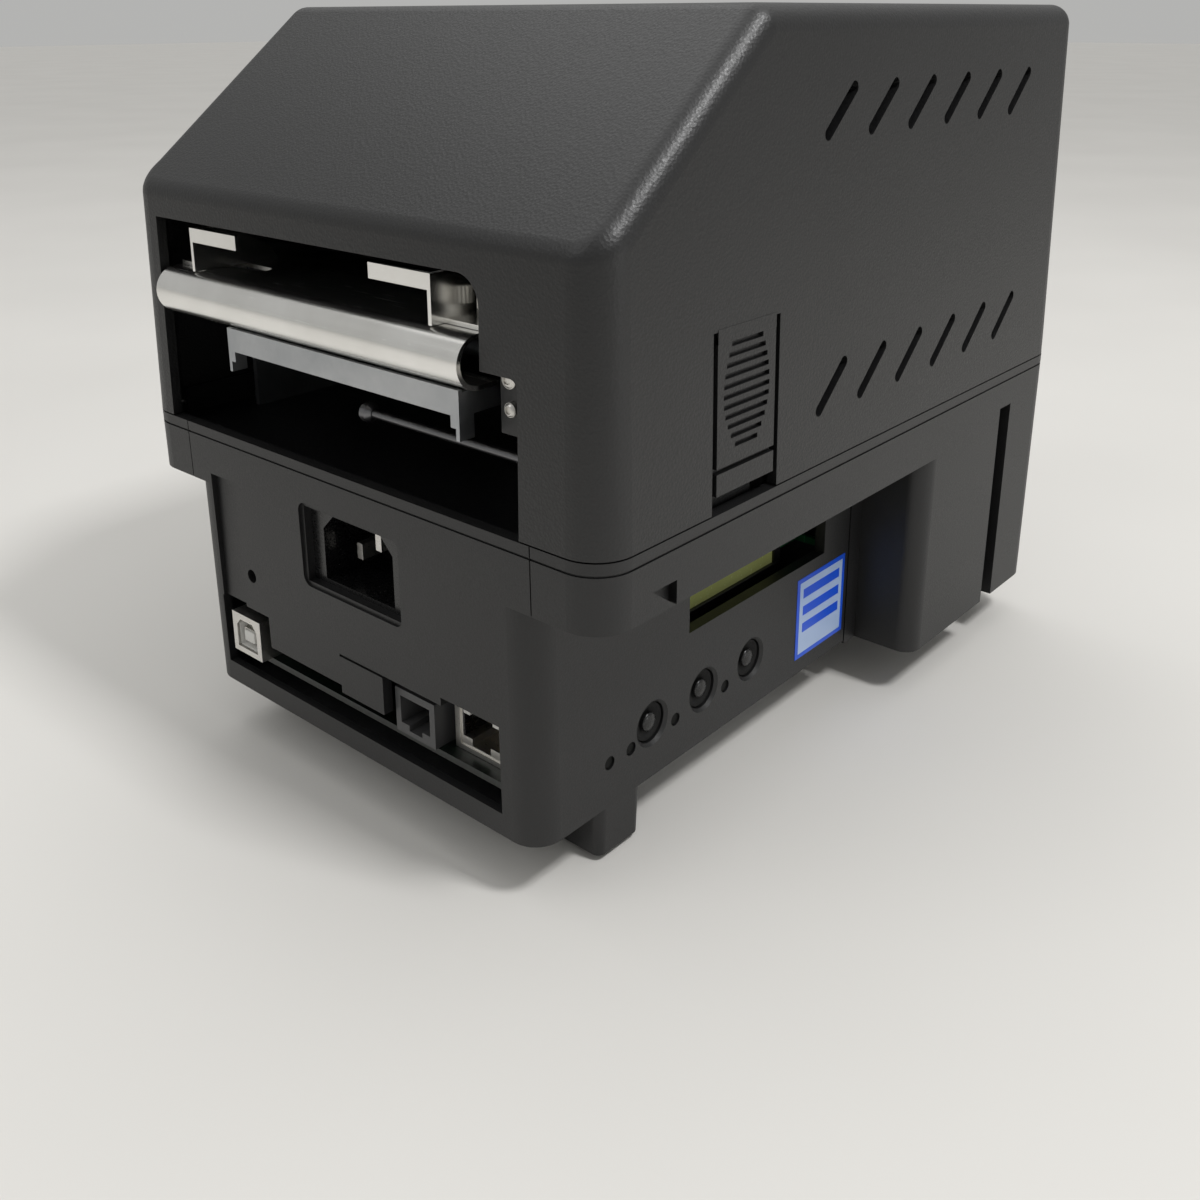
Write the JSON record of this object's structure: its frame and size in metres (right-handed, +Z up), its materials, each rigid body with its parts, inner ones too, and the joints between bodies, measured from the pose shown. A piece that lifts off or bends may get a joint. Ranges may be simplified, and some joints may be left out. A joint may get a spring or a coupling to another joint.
{
  "type": "ticket printer",
  "caption": "Desktop thermal ticket printer: tall hinged cover with side press latches, rear stock guide with sliding edge guides, and a full-width front block.",
  "frame": {"origin": "centre of the footprint on the surface it stands on", "axes": "+Y towards the rear, where the stock goes in, +X away from the control side, +Z up"},
  "size_m": [0.156, 0.2098, 0.1838],
  "materials": {
    "black_abs": "fine moulded grain",
    "black_gloss": "smooth",
    "rubber": "matte",
    "brushed_steel": "brushed",
    "zinc_steel": "zinc plated",
    "black_steel": "black powder coat",
    "aluminium": "extruded",
    "brass": "turned",
    "white_acetal": "moulded",
    "grey_nylon": "moulded",
    "nickel": "bright",
    "board": "solder resist",
    "display": "polarised",
    "lens": "clear tint"
  },
  "bodies": {
    "root": {"base_frame": "black_abs", "hinge_pins": "zinc_steel", "electronics_housing": "black_abs", "bottom_plate": "zinc_steel", "legs": "black_abs", "rubber_pads": "rubber", "screws": "zinc_steel", "deck_plate": "black_steel", "side_plate_left": "zinc_steel", "side_plate_right": "zinc_steel", "tie_bars": "zinc_steel", "ticket_guide": "brushed_steel", "guide_support": "brushed_steel", "upper_guide": "black_steel", "front_guide": "zinc_steel", "stock_rod": "nickel", "rod_bracket": "black_steel", "platen_bushes": "brass", "stepper_motor": "black_steel", "cutter_frame": "zinc_steel", "fixed_blade": "brushed_steel", "cutter_motor": "nickel", "main_board": "board", "usb_socket": "nickel", "phone_socket": "black_gloss", "network_socket": "nickel", "port_blank": "black_abs", "mains_inlet": "black_gloss", "inlet_pins": "nickel", "power_board": "board", "display_board": "board", "display_glass": "display", "button_board": "board", "indicator_lenses": "lens"},
    "cover": {"top_cover": "black_abs", "exit_bezel": "black_gloss"},
    "latch_left": {"latch_left": "black_abs"},
    "latch_right": {"latch_right": "black_abs"},
    "edge_guide_left": {"edge_guide_left": "brushed_steel", "guide_screw_left": "nickel"},
    "edge_guide_right": {"edge_guide_right": "brushed_steel", "guide_screw_right": "nickel"},
    "platen": {"platen_roller": "rubber", "platen_shaft": "zinc_steel", "platen_gear": "white_acetal"},
    "idler": {"idler_gear": "white_acetal"},
    "motor_rotor": {"motor_pinion": "brass", "motor_shaft": "zinc_steel"},
    "head": {"head_carrier": "zinc_steel", "head_heatsink": "aluminium", "print_head": "white_acetal", "head_shaft": "zinc_steel"},
    "lever": {"lift_shaft": "zinc_steel", "release_lever": "zinc_steel", "lever_grip": "grey_nylon"},
    "blade": {"moving_blade": "brushed_steel"},
    "cutter_drive": {"cutter_pinion": "brass"},
    "button_1": {"button_1": "black_gloss"},
    "button_2": {"button_2": "black_gloss"},
    "button_3": {"button_3": "black_gloss"}
  },
  "joints": [
    {"name": "cover_hinge", "type": "hinge", "parent": "root", "child": "cover", "pos_m": [0, -0.0999, 0.08935], "axis": [1, 0, 0], "range_deg": [0, 75]},
    {"name": "latch_left_press", "type": "hinge", "parent": "cover", "child": "latch_left", "pos_m": [0.07619, 0.05655, 0.12095], "axis": [0, 1, 0], "range_deg": [0, 4], "stiffness_Nm_per_rad": 0.4},
    {"name": "latch_right_press", "type": "hinge", "parent": "cover", "child": "latch_right", "pos_m": [-0.07619, 0.05655, 0.12095], "axis": [0, -1, 0], "range_deg": [0, 4], "stiffness_Nm_per_rad": 0.4},
    {"name": "edge_left_slide", "type": "slide", "parent": "root", "child": "edge_guide_left", "axis": [-1, 0, 0], "range_m": [0, 0.0158]},
    {"name": "edge_right_slide", "type": "slide", "parent": "root", "child": "edge_guide_right", "axis": [1, 0, 0], "range_m": [0, 0.0158]},
    {"name": "platen_spin", "type": "hinge", "parent": "root", "child": "platen", "pos_m": [0.01, 0.0023, 0.1149], "axis": [1, 0, 0], "continuous": true},
    {"name": "idler_spin", "type": "hinge", "parent": "root", "child": "idler", "pos_m": [-0.05, 0.02582, 0.1029], "axis": [1, 0, 0], "continuous": true},
    {"name": "motor_spin", "type": "hinge", "parent": "root", "child": "motor_rotor", "pos_m": [-0.05, 0.04316, 0.0999], "axis": [1, 0, 0], "continuous": true},
    {"name": "lever_turn", "type": "hinge", "parent": "root", "child": "lever", "pos_m": [0.064, 0.0243, 0.1349], "axis": [-1, 0, 0], "range_deg": [0, 60]},
    {"name": "head_lift", "type": "hinge", "parent": "root", "child": "head", "pos_m": [0.01, -0.0297, 0.1389], "axis": [1, 0, 0], "range_deg": [0, 22]},
    {"name": "cutter_turn", "type": "hinge", "parent": "root", "child": "cutter_drive", "pos_m": [-0.034, -0.0667, 0.1359], "axis": [-1, 0, 0], "range_deg": [0, 90]},
    {"name": "blade_slide", "type": "slide", "parent": "root", "child": "blade", "axis": [0, 0, -1], "range_m": [0, 0.009]},
    {"name": "button_1_press", "type": "slide", "parent": "root", "child": "button_1", "axis": [1, 0, 0], "range_m": [0, 0.0008], "stiffness_N_per_m": 800},
    {"name": "button_2_press", "type": "slide", "parent": "root", "child": "button_2", "axis": [1, 0, 0], "range_m": [0, 0.0008], "stiffness_N_per_m": 800},
    {"name": "button_3_press", "type": "slide", "parent": "root", "child": "button_3", "axis": [1, 0, 0], "range_m": [0, 0.0008], "stiffness_N_per_m": 800}
  ],
  "couplings": [
    {"joint": "idler_spin", "follows": "platen_spin", "ratio": -1.2},
    {"joint": "motor_spin", "follows": "platen_spin", "ratio": 2.5714},
    {"joint": "head_lift", "follows": "lever_turn", "ratio": 0.36667},
    {"joint": "cutter_turn", "follows": "blade_slide", "rad_per_m": 166.67}
  ]
}
